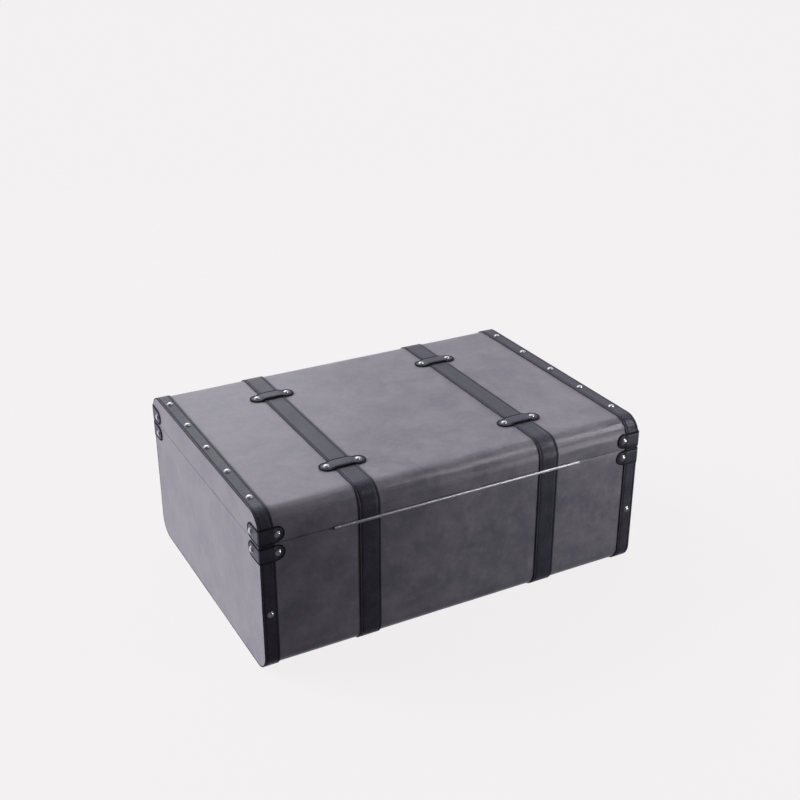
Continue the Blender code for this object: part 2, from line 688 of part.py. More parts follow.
def main():
    add_base_carcass()
    add_lid_carcass()
    add_covering()
    add_linings()
    add_edge_trims()
    add_corner_tabs()
    add_straps()
    add_keepers()
    add_hinge()
    for side, sign in sides():
        add_closing_strap(side, sign * STRAP_X, TAIL_FRAMES[side])
        add_buckle(side, sign * STRAP_X, TAIL_FRAMES[side])
    add_handle()
    TRUNK_FRAME.location.y = SHIFT_Y


main()
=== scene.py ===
"""The steamer trunk's looks: leatherette skins, stitched leather, nickel hardware and a black lining.

Everything is in metres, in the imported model's frame. The back, with the hinge, faces +Y.
"""

from math import ceil, cos, pi, radians, sin, sqrt

import bmesh
import bpy
import numpy as np
from mathutils import Matrix, Vector, noise


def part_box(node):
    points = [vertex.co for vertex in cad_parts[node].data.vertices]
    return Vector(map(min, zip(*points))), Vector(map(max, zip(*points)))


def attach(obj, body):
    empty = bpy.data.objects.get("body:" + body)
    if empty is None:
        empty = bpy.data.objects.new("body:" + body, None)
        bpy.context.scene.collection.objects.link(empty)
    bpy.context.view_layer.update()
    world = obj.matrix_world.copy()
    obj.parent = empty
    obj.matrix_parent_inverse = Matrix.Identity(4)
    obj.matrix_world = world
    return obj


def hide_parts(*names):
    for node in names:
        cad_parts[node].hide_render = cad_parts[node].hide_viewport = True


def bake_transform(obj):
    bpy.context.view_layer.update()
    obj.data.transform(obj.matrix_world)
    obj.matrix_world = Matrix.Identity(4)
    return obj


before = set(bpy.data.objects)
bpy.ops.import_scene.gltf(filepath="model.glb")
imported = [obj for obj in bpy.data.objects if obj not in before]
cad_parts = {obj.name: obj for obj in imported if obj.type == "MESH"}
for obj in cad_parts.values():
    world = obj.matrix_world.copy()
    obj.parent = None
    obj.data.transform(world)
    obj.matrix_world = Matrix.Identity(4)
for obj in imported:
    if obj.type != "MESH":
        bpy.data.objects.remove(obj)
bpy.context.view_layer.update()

# Places taken from the frame


def box(name):
    """A CAD node's low corner, high corner and middle."""
    low, high = (Vector(corner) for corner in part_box(name))
    return low, high, (low + high) / 2


WRAP_LOW, WRAP_HIGH, WRAP_MIDDLE = box("base_wrap_covering")
LID_WRAP_LOW, LID_WRAP_HIGH, _ = box("lid_wrap_covering")
MOULDING_LOW, MOULDING_HIGH, _ = box("base_back_corner_moulding")
END_X = box("base_end_covering_right")[1].x
MID_Y = WRAP_MIDDLE.y
HALF_Y = (WRAP_HIGH.y - WRAP_LOW.y) / 2
COVER_TOP = LID_WRAP_HIGH.z
LID_BOTTOM = LID_WRAP_LOW.z
WOOD_INSET = 0.0013  # from the covering's outside to the boards
CORNER_R = MOULDING_HIGH.y - MOULDING_LOW.y + WOOD_INSET
ARC_Y = HALF_Y - CORNER_R
EDGE_Z = {1: LID_BOTTOM, -1: WRAP_HIGH.z}  # the seam's edge of the lid (1) and of the base (-1)
ARC_Z = {1: COVER_TOP - CORNER_R, -1: WRAP_LOW.z + CORNER_R}  # where their rounded edges begin

SIDES = (("left", -1), ("right", 1))
FACES = (("front", -1), ("back", 1))
CORNERS = ((1, 1), (-1, 1), (-1, -1), (1, -1))
PARTS = (("base", -1), ("lid", 1))

# Sizes of the skins

FIT = 0.0003  # the gap between neighbouring pieces
ROLLED_EDGE = 0.0013
END_DENT = 0.0004
DENT_SIZE = 0.10
END_COLUMNS = 56
RIM_POINTS = 24
RIM_FOLD = (  # (inset from the outline, rise towards the other half)
    (0.0012, 0.0004), (0.0002, 0.0004), (0.0001, 0.0), (0.0007, -0.00018),
    (0.0095, -0.00018), (0.0106, 0.0), (0.0108, 0.003), (0.0103, 0.003),
)
CLOTH = 0.0009
CLOTH_CORNER = 0.006
SLANT_CORNER = 0.012
HEM = 0.0006  # from the lining's mouth up to its CAD box

# Sizes of the leather

LEATHER = 0.0016
TAB_LEATHER = 0.0010
TONGUE_LEATHER = 0.0018
EDGE_R = 0.00055
UNDERCUT = 0.0002
LOW_EDGE = 0.4  # height of a cut edge's lower rim, as a share of the thickness
GROOVE_DEPTH = 0.00060
GROOVE_WIDTH = 0.00070
STITCH_IN = 0.0034
TAB_STITCH_IN = 0.0024
BAND_EDGE = 0.0006  # width of the dark dye along a band's cut edge
# how dark bands are along their dyed cut edges, and with painted shade in their stitch grooves
BAND_DYE_AND_SHADE = 0.6
PATCH_EDGE = 0.0020
DYE_FADE = 0.0006
PATCH_STEP = 0.0025
STITCH_PITCH = 0.0036
STITCH_LENGTH = 0.0027
STITCH_REACH = 0.0008  # to the points that give a stitch its direction
STITCH_RINGS = (  # (place along the stitch, size, dip)
    (-0.5, 0.35, -0.9), (-0.42, 0.9, -0.35), (-0.2, 1.0, 0.0),
    (0.2, 1.0, 0.0), (0.42, 0.9, -0.35), (0.5, 0.35, -0.9),
)
THREAD_R = 0.00030
TRIM_WIDTH = 0.024
STRAP_WIDTH = 0.035
TAB_REACH_X = 0.040
TAB_REACH_Y = 0.0375
TAB_STUD_X = 0.028
TAB_STUD_Y = 0.0245
TAB_WIDTH = 0.026
KEEPER_WIDTH = 0.0255
KEEPER_LENGTH = 0.077
KEEPER_STUD_X = 0.02625
KEEPER_ARCH = 0.0010
KEEPER_CROWN = 0.0003
TONGUE_WIDTH = 0.031
TONGUE_TOP_R = 0.003
SEWN_LENGTH = 0.018  # sewn to the lid's strap

# Sizes of the hardware. Profiles are (radius, height) points.

STUD_R = 0.0053
STUD_HEIGHT = 0.0030
STUD_RIM = 0.0005
TOP_STUD_PITCH = 0.0875
TOP_STUDS = 5
LOW_STUD_Z = 0.103
BUCKLE_WIRE_R = 0.0016
BUCKLE_CORNER = 0.005
BUCKLE_BOW = 0.0006
PRONG_LIFT = ((0.0, 0.0006), (0.15, 0.0), (0.5, 0.0005), (0.85, 0.0), (0.97, 0.0003), (1.0, 0.0006))
PRONG_RADII = (0.0011, 0.0012, 0.0011, 0.00105, 0.0009, 0.0005)
PRONG_EYE_R = 0.0016
PRONG_EYE_WIRE = 0.0007
TONGUE_HOLES = 2
HOLE_PITCH = 0.011
EYELET = (
    (0.0026, -0.0001), (0.0027, 0.0001), (0.0024, 0.0005),
    (0.0018, 0.0005), (0.0014, 0.0001), (0.0014, -0.0001),
)
# a dark plug inside each eyelet: painted shade standing in for the strap's holes
HOLE_SHADOW_PLUG = ((0.0014, -0.0001), (0.0014, 0.00015), (0.0004, 0.00005))
DISC_PROUD = 0.00014
DISC_EASE = 0.0002
HINGE_LENGTH = 0.429
HINGE_ROD_R = 0.0011
KNUCKLES = 17
KNUCKLE_R = 0.0025
KNUCKLE_BORE = 0.0013
KNUCKLE_GAP = 0.0004
LEAF = 0.0008
SCREWS = 9
SCREW_IN = 0.0048
SCREW = ((0.0019, -0.0003), (0.0021, 0.00002), (0.0017, 0.00016), (0.0005, 0.0002), (0.0004, 0.00005))
BRACKET_SHEET = 0.0016
BRACKET_CORNER = 0.005
BRACKET_BEVEL = 0.0004
EAR_X = 0.0062
EAR_R = 0.0042
RIVET_X = 0.0135
ROD_HEAD = ((0.0010, 0.0), (0.0019, 0.0004), (0.0019, 0.0010), (0.0014, 0.0011))
RIVET = ((0.0024, -0.0002), (0.0024, 0.0002), (0.0020, 0.0007), (0.0012, 0.0011), (0.0003, 0.0012))
FERRULE_EYE_R = 0.0039
FERRULE_EYE_HALF = 0.0050
FERRULE_NECK = (
    (0.0012, -0.0030), (0.0030, -0.0036), (0.0042, -0.0058), (0.0054, -0.0078), (0.0055, -0.0095),
    (0.0058, -0.0100), (0.0058, -0.0107), (0.0054, -0.0112),
)
FERRULE_MOUTH = ((0.0054, 0.0014), (0.0058, 0.0011), (0.0058, 0.0003), (0.0053, 0.0))  # over its end
GRIP_THIN = 0.86  # radius at its ends, as a share of the middle's
GRIP_SEAM_R = 0.0009

# Sizes of the stage

CAMERA_PLACE = Vector((0.8387, 1.5977, 1.1171))
CAMERA_YAW = 0.4923
CAMERA_PITCH = 0.4359
CAMERA_LENS = 54.6
PAPER = (0.896, 0.879, 0.887)
FLOOR_SHADING = 0.05
FLOOR_HALF = 13.0
DOME_R = 12.0
DOME_SUNK = 1.0

# Meshes


def add_to_scene(name, data):
    made = bpy.data.objects.new(name, data)
    bpy.context.scene.collection.objects.link(made)
    return made


def piece(name, mesh, finish, body, nodes=()):
    """A visible piece that rides on a body and stands for CAD nodes."""
    material, slot = finish
    made = add_to_scene(name, mesh)
    if not mesh.materials:
        mesh.materials.append(material)
    if body:
        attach(made, body)
    if nodes:
        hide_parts(*nodes)
    return made


def mesh_of(vertices, faces, shades=None, angle=40):
    """A smooth mesh with its doubled points welded. shades darkens it from 0 to 1: dyed cut edges and
    painted shade in stitch grooves.
    """
    mesh = bpy.data.meshes.new("mesh")
    mesh.from_pydata([tuple(v) for v in vertices], [], faces)
    if shades:
        # dyed cut edges and painted shade in the stitch grooves, for the trim material
        layer = mesh.attributes.new("dye_and_painted_shade", "FLOAT", "POINT")
        layer.data.foreach_set("value", np.asarray(shades, np.float32))
    weld(mesh)
    mesh.shade_smooth()
    mesh.set_sharp_from_angle(angle=radians(angle))
    return mesh


def weld(mesh):
    shape = bmesh.new()
    shape.from_mesh(mesh)
    bmesh.ops.remove_doubles(shape, verts=shape.verts, dist=2e-6)
    bmesh.ops.dissolve_degenerate(shape, edges=shape.edges, dist=1e-6)
    bmesh.ops.recalc_face_normals(shape, faces=shape.faces)
    shape.to_mesh(mesh)
    shape.free()


def skin(vertices, faces, loops, closed=False):
    """Adds a surface through loops of points. closed joins its ends, and otherwise they get caps."""
    first, count = len(vertices), len(loops[0])
    vertices += [point for loop in loops for point in loop]
    for i in range(len(loops) if closed else len(loops) - 1):
        here, there = first + i * count, first + (i + 1) % len(loops) * count
        for j in range(count):
            k = (j + 1) % count
            faces.append((here + j, here + k, there + k, there + j))
    if not closed:
        faces.append(tuple(range(first, first + count)))
        faces.append(tuple(range(len(vertices) - count, len(vertices))))


def loft(loops, closed=False, shades=None):
    """A mesh through loops of points. shades has a list for each loop."""
    vertices, faces = [], []
    skin(vertices, faces, loops, closed)
    return mesh_of(vertices, faces, [s for loop in shades for s in loop] if shades else None)


def grid_faces(first, rows, columns):
    """The faces between neighbouring rows of a grid of points."""
    faces = []
    for i in range(rows - 1):
        for j in range(first + i * columns, first + (i + 1) * columns - 1):
            faces.append((j, j + 1, j + columns + 1, j + columns))
    return faces


def join_meshes(meshes):
    """One mesh out of several, which stay separate shells."""
    vertices, faces = [], []
    for mesh in meshes:
        first = len(vertices)
        vertices += [vertex.co.copy() for vertex in mesh.vertices]
        faces += [tuple(first + i for i in face.vertices) for face in mesh.polygons]
    return mesh_of(vertices, faces)


def undulate(mesh, depth, size, seed):
    """Moves the points along their normals in soft waves, like glued leather."""
    offset = Vector((seed, 2.7 * seed, -1.3 * seed))
    for vertex in mesh.vertices:
        vertex.co += vertex.normal * depth * noise.noise(vertex.co / size + offset)


def frange(low, high, step):
    count = max(1, ceil((high - low) / step - 1e-9))
    return [low + (high - low) * i / count for i in range(count + 1)]


def arc(centre, radius, start, end, steps):
    angles = [radians(start + (end - start) * i / steps) for i in range(steps + 1)]
    return [(centre[0] + radius * cos(a), centre[1] + radius * sin(a)) for a in angles]


def ring(centre, across, up, radius, sides):
    return [centre + across * a + up * b for a, b in arc((0, 0), radius, 0, 360, sides)[:-1]]


# Paths


def section(up, offset, step, end_gap=0.0):
    """(point, outward normal) round the lid's section or the base's, from back to front."""
    arc_z, radius = ARC_Z[up], CORNER_R + offset
    end = up * (EDGE_Z[up] + up * end_gap)
    back = [(HALF_Y + offset, up * z, 1.0, 0.0) for z in frange(end, max(up * arc_z, end), step)]
    for a, b in arc((0, 0), 1, 0, 90, 12)[1:-1]:
        back.append((ARC_Y + radius * a, arc_z + up * radius * b, a, up * b))
    flat = [(-t, arc_z + up * radius, 0.0, float(up)) for t in frange(-ARC_Y, ARC_Y, step)]
    front = [(-a, b, -c, d) for a, b, c, d in reversed(back)]
    return [(Vector((0, MID_Y + a, b)), Vector((0, c, d))) for a, b, c, d in back + flat + front]


class Spine:
    """A bent line with a normal at each point, for laying flat leather."""

    def __init__(self, samples, side):
        self.table = np.array([(*place, *normal) for place, normal in samples])
        gaps = np.linalg.norm(np.diff(self.table[:, :3], axis=0), axis=1)
        self.runs = np.concatenate(([0.0], np.cumsum(gaps)))
        self.length = float(self.runs[-1])
        self.side = Vector(side)

    def at(self, run):
        """The place and the normal at this distance along the line."""
        values = [float(np.interp(run, self.runs, column)) for column in self.table.T]
        return Vector(values[:3]), Vector(values[3:]).normalized()

    def lay(self, points, height):
        """Places for (run, across) points at this height over the line."""
        laid = []
        for run, across in points:
            place, normal = self.at(run)
            laid.append(place + self.side * across + normal * height)
        return laid


def soften(corners, most, share, steps):
    """A bent line with its corners rounded. A curve takes up to `most`, or a share of a side."""
    points = [corners[0]]
    for before, corner, after in zip(corners, corners[1:], corners[2:]):
        back, on = before - corner, after - corner
        cut = min(most, back.length * share, on.length * share)
        start, end = corner + back.normalized() * cut, corner + on.normalized() * cut
        for t in (k / steps for k in range(steps + 1)):
            points.append(start * (1 - t) ** 2 + corner * 2 * t * (1 - t) + end * t * t)
    return points + [corners[-1]]


def bent_spine(corners, side, flip=1, radius=0.002):
    """A spine through these points with its corners rounded. flip = -1 turns its normals over."""
    places = soften([Vector(corner) for corner in corners], radius, 0.45, 6)
    fine = []
    for a, b in zip(places, places[1:]):
        fine += [a.lerp(b, t) for t in frange(0, 1, PATCH_STEP / max((b - a).length, 1e-6))[:-1]]
    fine.append(places[-1])
    samples = []
    for before, place, after in zip(fine[:1] + fine, fine, fine[1:] + fine[-1:]):
        samples.append((place, (after - before).cross(Vector(side)).normalized() * flip))
    return Spine(samples, side)


# Leather


def in_groove(inset, groove):
    return np.exp(-(((inset - groove) / GROOVE_WIDTH) ** 2))


def leather_top(inset, thickness, groove):
    """The leather's height at this distance in from its cut edge."""
    drop = EDGE_R - sqrt(EDGE_R**2 - max(EDGE_R - inset, 0) ** 2)
    return thickness - drop - GROOVE_DEPTH * in_groove(inset, groove)


def edge_dye_and_groove_shade(inset, groove, edge):
    """How dark the leather is, from 0 to 1: dyed along the cut edge, and painted shade in the stitch
    groove.
    """
    at_edge = max(0.0, 1.0 - max(0.0, inset - edge) / DYE_FADE)
    return float(max(at_edge, in_groove(inset, groove)))


def insets(half, groove):
    """The mesh's lines in from the edge, close together there and at the groove."""
    lines = [0, 0.00012, 0.0003, EDGE_R, 0.0012]
    lines += [groove + GROOVE_WIDTH * k for k in (-1.6, -0.9, -0.4, 0, 0.4, 0.9, 1.6)]
    last = max(lines)
    lines += [last + (half - last) * t for t in (0.25, 0.5, 0.75, 1.0)]
    return sorted(line for line in lines if line <= half + 1e-9)


def band_mesh(spine, width):
    """A long strip laid along a spine, with a stitched groove near both edges."""
    half = width / 2
    right = []
    for inset in insets(half, STITCH_IN):
        # dyed along the cut edge, painted shade in the stitch groove
        shade = BAND_DYE_AND_SHADE * edge_dye_and_groove_shade(inset, STITCH_IN, BAND_EDGE)
        right.append((half - inset, leather_top(inset, LEATHER, STITCH_IN), shade))
    left = [(-a, b, c) for a, b, c in reversed(right[:-1])]
    under = [(half - UNDERCUT, 0, 1.0), (half, LEATHER * LOW_EDGE, 1.0)]
    profile = right + left + [(-a, b, c) for a, b, c in reversed(under)] + under
    loops = []
    for run in spine.runs:
        place, normal = spine.at(run)
        loops.append([place + spine.side * across + normal * height for across, height, _ in profile])
    return loft(loops, shades=[[shade for _, _, shade in profile]] * len(loops))


def outline(length, half, radii, inset, side_steps):
    """(run, across) round a rectangle with rounded corners, drawn in by inset."""
    start, end = (max(radius, inset) for radius in radii)
    points = []
    for sign, middle, corner, ahead in ((1, length - end, end, start), (-1, start, start, length - end)):
        across, first = sign * (half - corner), sign * 90
        points += arc((middle, across), corner - inset, first, first - 90, 10)
        points += arc((middle, -across), corner - inset, first - 90, first - 180, 10)
        run, across = points[-1]
        points += [(run + (ahead - run) * i / side_steps, across) for i in range(1, side_steps)]
    return points


def patch_meshes(spine, width, thickness=TAB_LEATHER, groove=TAB_STITCH_IN, crown=0.0, radii=None):
    """A patch along a spine, grooved all round, and its thread. Its ends are round without radii."""
    half = width / 2
    radii = radii or (half, half)
    side_steps = max(2, round(spine.length / PATCH_STEP))
    # each ring's darkness: darkest at the cut edge and underneath, painted shade in the stitch groove
    rings = [(half, 0.0, 1.0), (half / 2, 0.0, 1.0), (UNDERCUT, 0.0, 1.0), (0.0, thickness * LOW_EDGE, 1.0)]
    for inset in insets(half, groove):
        height = leather_top(inset, thickness, groove) + crown * (1 - (1 - min(inset / half, 1)) ** 2)
        rings.append((inset, height, edge_dye_and_groove_shade(inset, groove, PATCH_EDGE)))
    loops, shades = [], []
    for inset, height, shade in rings:
        loops.append(spine.lay(outline(spine.length, half, radii, inset, side_steps), height))
        shades.append([shade] * len(loops[-1]))
    line = outline(spine.length, half, radii, groove, side_steps)
    seam = seam_run(spine, line + line[:1], thickness, crown * (1 - (1 - groove / half) ** 2))
    return loft(loops, shades=shades), stitches([seam])


def seam_run(spine, points, thickness, lift=0.0):
    """(place, normal) along the stitch line through these points of laid leather."""
    height = thickness - GROOVE_DEPTH + THREAD_R * 0.7 + lift
    return list(zip(spine.lay(points, height), [spine.at(run)[1] for run, _ in points]))


def stitches(seams):
    """Thread along each seam: short rounded bars that dip into the leather."""
    vertices, faces = [], []
    for seam in seams:
        line = Spine(seam, (0, 0, 0))
        count = max(1, int(line.length / STITCH_PITCH))
        for i in range(count):
            middle = (i + 0.5) * line.length / count
            place, normal = line.at(middle)
            ahead, _ = line.at(min(middle + STITCH_REACH, line.length))
            behind, _ = line.at(max(middle - STITCH_REACH, 0))
            along = (ahead - behind).normalized()
            across = along.cross(normal).normalized()
            loops = []
            for t, size, dip in STITCH_RINGS:
                centre = place + along * STITCH_LENGTH * t + normal * THREAD_R * dip
                loops.append(ring(centre, across, normal, THREAD_R * size, 6))
            skin(vertices, faces, loops)
    return mesh_of(vertices, faces)


# Hardware


def turned(profile, segments, turn=Matrix.Identity(4)):
    """A turned shape about Z, closed at both ends, then placed by `turn`."""
    across, up = Vector((1, 0, 0)), Vector((0, 1, 0))
    rings = [ring(Vector((0, 0, height)), across, up, radius, segments) for radius, height in profile]
    return loft([[turn @ point for point in loop] for loop in rings])


def along_x(place):
    """Lays a turned shape's axis along X."""
    return Matrix.Translation(place) @ Matrix.Rotation(pi / 2, 4, "Y")


def facing(place, out=-1):
    """Faces a turned shape's top to the front (out = -1) or the back."""
    return Matrix.Translation(place) @ Matrix.Rotation(-out * pi / 2, 4, "X")


def stud_profile():
    """A stud's head: a thin rim pressed into the leather, and a dome."""
    rim = [(STUD_R * 0.9, -0.0004), (STUD_R, 0.0), (STUD_R, 0.0003), (STUD_R * 0.97, 0.00045)]
    rise = STUD_HEIGHT - STUD_RIM
    dome = [(STUD_R * 0.93 * a, STUD_RIM + rise * b) for a, b in arc((0, 0), 1, 0, 81, 9)]
    return rim + dome + [(STUD_R * 0.03, STUD_HEIGHT)]


def add_stud(name, place, out, body):
    made = piece(name, STUD_MESH, NICKEL, None)
    made.matrix_world = Matrix.Translation(place) @ Vector(out).to_track_quat("Z", "Y").to_matrix().to_4x4()
    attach(made, body)


def tube(points, radii, sides=16, closed=False, flatten=1.0):
    """A bar along points, with a radius for each. flatten squeezes it along Y."""
    points = [Vector(point) for point in points]
    count = len(points)
    loops = []
    for i, point in enumerate(points):
        if closed:
            along = points[(i + 1) % count] - points[i - 1]
        else:
            along = points[min(i + 1, count - 1)] - points[max(i - 1, 0)]
        along.normalize()
        depth = Vector((0, 1, 0)) if abs(along.y) < 0.9 else Vector((1, 0, 0))
        across = along.cross(depth).normalized()
        depth = across.cross(along).normalized()
        loops.append(ring(point, across, depth * flatten, radii[i], sides))
    return loft(loops, closed=closed)


# Materials


def connect(tree, socket, value):
    """Gives a shader socket another node's output, or a value of its own."""
    if isinstance(value, bpy.types.NodeSocket):
        tree.links.new(value, socket)
    else:
        socket.default_value = value


def set_inputs(tree, node, **inputs):
    """Sets a node's inputs, whose names have _ for a space here."""
    for name, value in inputs.items():
        connect(tree, node.inputs[name.replace("_", " ")], value)


def add_node(tree, kind, **inputs):
    made = tree.nodes.new(f"ShaderNode{kind}")
    set_inputs(tree, made, **inputs)
    return made


class Look:
    """A material being built."""

    def __init__(self, name, colour, roughness, metallic=0.0):
        self.material = bpy.data.materials.new(name)
        self.material.use_nodes = True
        self.tree = self.material.node_tree
        self.coordinates = add_node(self.tree, "TexCoord").outputs["Object"]
        self.set(Base_Color=(*colour, 1), Roughness=roughness, Metallic=metallic)

    def set(self, **inputs):
        set_inputs(self.tree, self.tree.nodes["Principled BSDF"], **inputs)

    def noise(self, size, detail, roughness=0.5, distortion=0.0, stretch=(1, 1, 1)):
        """Noise whose features are about this size in metres."""
        scale = [1 / (size * s) for s in stretch]
        mapping = add_node(self.tree, "Mapping", Vector=self.coordinates, Scale=scale).outputs["Vector"]
        kind = {"Detail": detail, "Roughness": roughness, "Distortion": distortion}
        return add_node(self.tree, "TexNoise", Vector=mapping, Scale=1.0, **kind).outputs["Fac"]

    def cells(self, size):
        cells = add_node(self.tree, "TexVoronoi", Vector=self.coordinates, Scale=1 / size)
        return cells.outputs["Distance"]

    def range(self, source, low, high, to_low=0.0, to_high=1.0):
        limits = {"From_Min": low, "From_Max": high, "To_Min": to_low, "To_Max": to_high}
        return add_node(self.tree, "MapRange", Value=source, **limits).outputs["Result"]

    def maths(self, operation, a, b):
        node = add_node(self.tree, "Math")
        node.operation = operation
        connect(self.tree, node.inputs[0], a)
        connect(self.tree, node.inputs[1], b)
        return node.outputs["Value"]

    def mix(self, amount, a, b):
        """A colour between a and b."""
        node = add_node(self.tree, "Mix")
        node.data_type = "RGBA"
        for index, value in ((0, amount), (6, a), (7, b)):
            connect(self.tree, node.inputs[index], (*value, 1) if isinstance(value, tuple) else value)
        return node.outputs[2]

    def attribute(self, name):
        node = add_node(self.tree, "Attribute")
        node.attribute_name = name
        return node.outputs["Fac"]

    def bumps(self, *layers):
        """Bumps stacked from coarse to fine. Each is (height, depth in metres)."""
        for i, (source, depth) in enumerate(layers):
            node = add_node(self.tree, "Bump", Distance=depth, Height=source)
            if i:
                self.tree.links.new(last, node.inputs["Normal"])
            last = node.outputs["Normal"]
        self.set(Normal=last)


def covering_look():
    """Bonded leatherette: clouded greys, fine creases and a soft uneven gloss."""
    look = Look("covering_leatherette", (0.172, 0.165, 0.187), 0.42)
    clouds = look.noise(0.050, 5, roughness=0.60, distortion=0.2)
    blotches = look.noise(0.012, 6, roughness=0.66, distortion=0.3)
    creases = look.noise(0.0035, 6, roughness=0.7, distortion=0.9)
    grey = look.mix(look.range(clouds, 0.36, 0.64), (0.138, 0.132, 0.155), (0.200, 0.192, 0.212))
    grey = look.mix(look.range(blotches, 0.54, 0.76, 0, 0.5), grey, (0.270, 0.256, 0.268))
    grey = look.mix(look.range(blotches, 0.46, 0.26, 0, 0.5), grey, (0.096, 0.092, 0.114))
    grey = look.mix(look.range(creases, 0.60, 0.74, 0, 0.35), grey, (0.088, 0.085, 0.104))
    gloss = look.range(look.maths("ADD", clouds, blotches), 0.7, 1.3, 0.30, 0.44)
    look.set(Base_Color=grey, Roughness=gloss, Specular_IOR_Level=0.55)
    pulls = look.maths("SUBTRACT", look.noise(0.008, 2, stretch=(12, 1, 1)), 0.5)
    wrinkles = look.maths("MULTIPLY", pulls, bend_mask(look))
    fine = (blotches, 0.00025), (creases, 0.00016), (look.cells(0.0011), 0.00006)
    look.bumps((clouds, 0.0010), (wrinkles, 0.0007), *fine)
    return look.material


def bend_mask(look):
    """1 on the lid's rounded edges, where the covering wrinkles, and 0 elsewhere."""
    place = add_node(look.tree, "SeparateXYZ", Vector=look.coordinates).outputs
    from_middle = look.maths("ABSOLUTE", look.maths("SUBTRACT", place["Y"], MID_Y), 0.0)
    outward = look.range(from_middle, ARC_Y - 0.012, ARC_Y + 0.006)
    upward = look.range(place["Z"], ARC_Z[1] - 0.004, ARC_Z[1] + 0.006)
    return look.maths("MULTIPLY", outward, upward)


def trim_look():
    """Charcoal leather with a fine pebbled grain, darker dyed cut edges and painted shade in the stitch
    grooves.
    """
    look = Look("trim_leather", (0.040, 0.039, 0.052), 0.42)
    clouds = look.noise(0.030, 4, roughness=0.6)
    pebbles = look.cells(0.0016)
    creases = look.noise(0.0025, 5, roughness=0.65, distortion=0.8)
    # the cut edges' dye and the painted shade in the stitch grooves darken the colour and roughen the gloss
    edge = look.attribute("dye_and_painted_shade")
    shade = look.mix(look.range(clouds, 0.35, 0.65), (0.031, 0.031, 0.045), (0.053, 0.052, 0.074))
    shade = look.mix(look.range(pebbles, 0.40, 0.70, 0, 0.7), shade, (0.018, 0.0175, 0.025))
    shade = look.mix(edge, shade, (0.006, 0.006, 0.009))
    gloss = look.maths("ADD", look.range(clouds, 0.3, 0.7, 0.34, 0.48), look.range(edge, 0, 1, 0, 0.4))
    look.set(Base_Color=shade, Roughness=gloss, Specular_IOR_Level=0.42)
    look.bumps((clouds, 0.0004), (creases, 0.00014), (pebbles, 0.00022))
    return look.material


def thread_look():
    look = Look("stitching_thread", (0.012, 0.012, 0.017), 0.8)
    twist = look.noise(0.0006, 2)
    look.set(Base_Color=look.mix(twist, (0.016, 0.016, 0.022), (0.034, 0.034, 0.044)))
    look.bumps((twist, 0.00006))
    return look.material


def nickel_look(name, least, most, clean, dull):
    """Lightly tarnished nickel plate, with its roughness between least and most."""
    look = Look(name, clean, least, 1.0)
    tarnish = look.noise(0.004, 4, roughness=0.6)
    look.set(Base_Color=look.mix(look.range(tarnish, 0.45, 0.8), clean, dull))
    look.set(Roughness=look.range(tarnish, 0.3, 0.7, least, most))
    look.bumps((look.noise(0.0008, 2, stretch=(6, 1, 1)), 0.000012))
    return look.material


def lining_look():
    """Brushed black cloth with a faint nap."""
    look = Look("lining_cloth", (0.018, 0.018, 0.02), 0.95)
    nap = look.noise(0.0012, 4, roughness=0.7, stretch=(1, 3, 1))
    brushed = look.noise(0.05, 3, roughness=0.55)
    black = look.mix(look.range(brushed, 0.3, 0.7), (0.014, 0.014, 0.016), (0.030, 0.030, 0.033))
    look.set(Base_Color=black, Sheen_Weight=0.25, Sheen_Roughness=0.4)
    look.bumps((brushed, 0.0006), (nap, 0.0003))
    return look.material


def board_look():
    """Raw fibreboard: pale brown with short pressed fibres."""
    look = Look("fibreboard", (0.42, 0.31, 0.20), 0.8)
    fibres = look.noise(0.002, 5, roughness=0.7, stretch=(4, 1, 1))
    patches = look.noise(0.03, 3)
    pale = look.mix(look.range(fibres, 0.35, 0.7), (0.30, 0.21, 0.13), (0.50, 0.38, 0.25))
    look.set(Base_Color=look.mix(look.range(patches, 0.3, 0.7, 0, 0.4), pale, (0.36, 0.27, 0.17)))
    look.bumps((fibres, 0.0002))
    return look.material


COVERING = (covering_look(), "covering")
TRIM = (trim_look(), "trim_leather")
THREAD = (thread_look(), "trim_leather")
NICKEL = (nickel_look("polished_nickel", 0.14, 0.28, (0.70, 0.70, 0.72), (0.46, 0.45, 0.47)), "nickel")
SATIN = (nickel_look("satin_nickel", 0.36, 0.48, (0.46, 0.46, 0.48), (0.34, 0.34, 0.36)), "nickel")
LINING = (lining_look(), "lining")
BOARD = board_look()
STUD_MESH = turned(stud_profile(), 28)


# Skins and linings


def add_wraps():
    """The covering round the long faces, rolled over the edge at the seam."""
    half = LID_WRAP_HIGH.x
    for part, up in PARTS:
        path = section(up, 0.0, 0.010, ROLLED_EDGE)
        profile = list(reversed(rolled_edge(path[0], up)))
        profile += [place for place, _ in path]
        profile += rolled_edge(path[-1], up)
        profile += [place - normal * ROLLED_EDGE for place, normal in reversed(path)]
        mesh = loft([[Vector((x, *point.yz)) for point in profile] for x in frange(-half, half, 0.010)])
        undulate(mesh, 0.00016, 0.045, seed=4.0 - up)
        piece(f"{part}_wrap_skin", mesh, COVERING, part, [f"{part}_wrap_covering"])


def rolled_edge(sample, up):
    place, normal = sample
    turn = arc((-ROLLED_EDGE, 0), ROLLED_EDGE, 0, 90, 4)[1:]
    return [place + normal * a - Vector((0, 0, up * b)) for a, b in turn]


def add_end_skins():
    """The covering on each end, with shallow dents."""
    for part, up in PARTS:
        for side, sign in SIDES:
            node = f"{part}_end_covering_{side}"
            low, high, _ = box(node)
            outer_x, inner_x = (high.x, low.x) if sign > 0 else (low.x, high.x)
            piece(f"{part}_end_skin_{side}", end_mesh(up, sign, outer_x, inner_x), COVERING, part, [node])


def end_rows(up):
    """(height, half width) of the end's outline from the seam."""
    straight = frange(up * EDGE_Z[up], up * ARC_Z[up], 0.008)[:-1]
    turn = arc((ARC_Y, 0.0), CORNER_R, 0, 90, 18)
    return [(up * z, HALF_Y) for z in straight] + [(ARC_Z[up] + up * z, y) for y, z in turn]


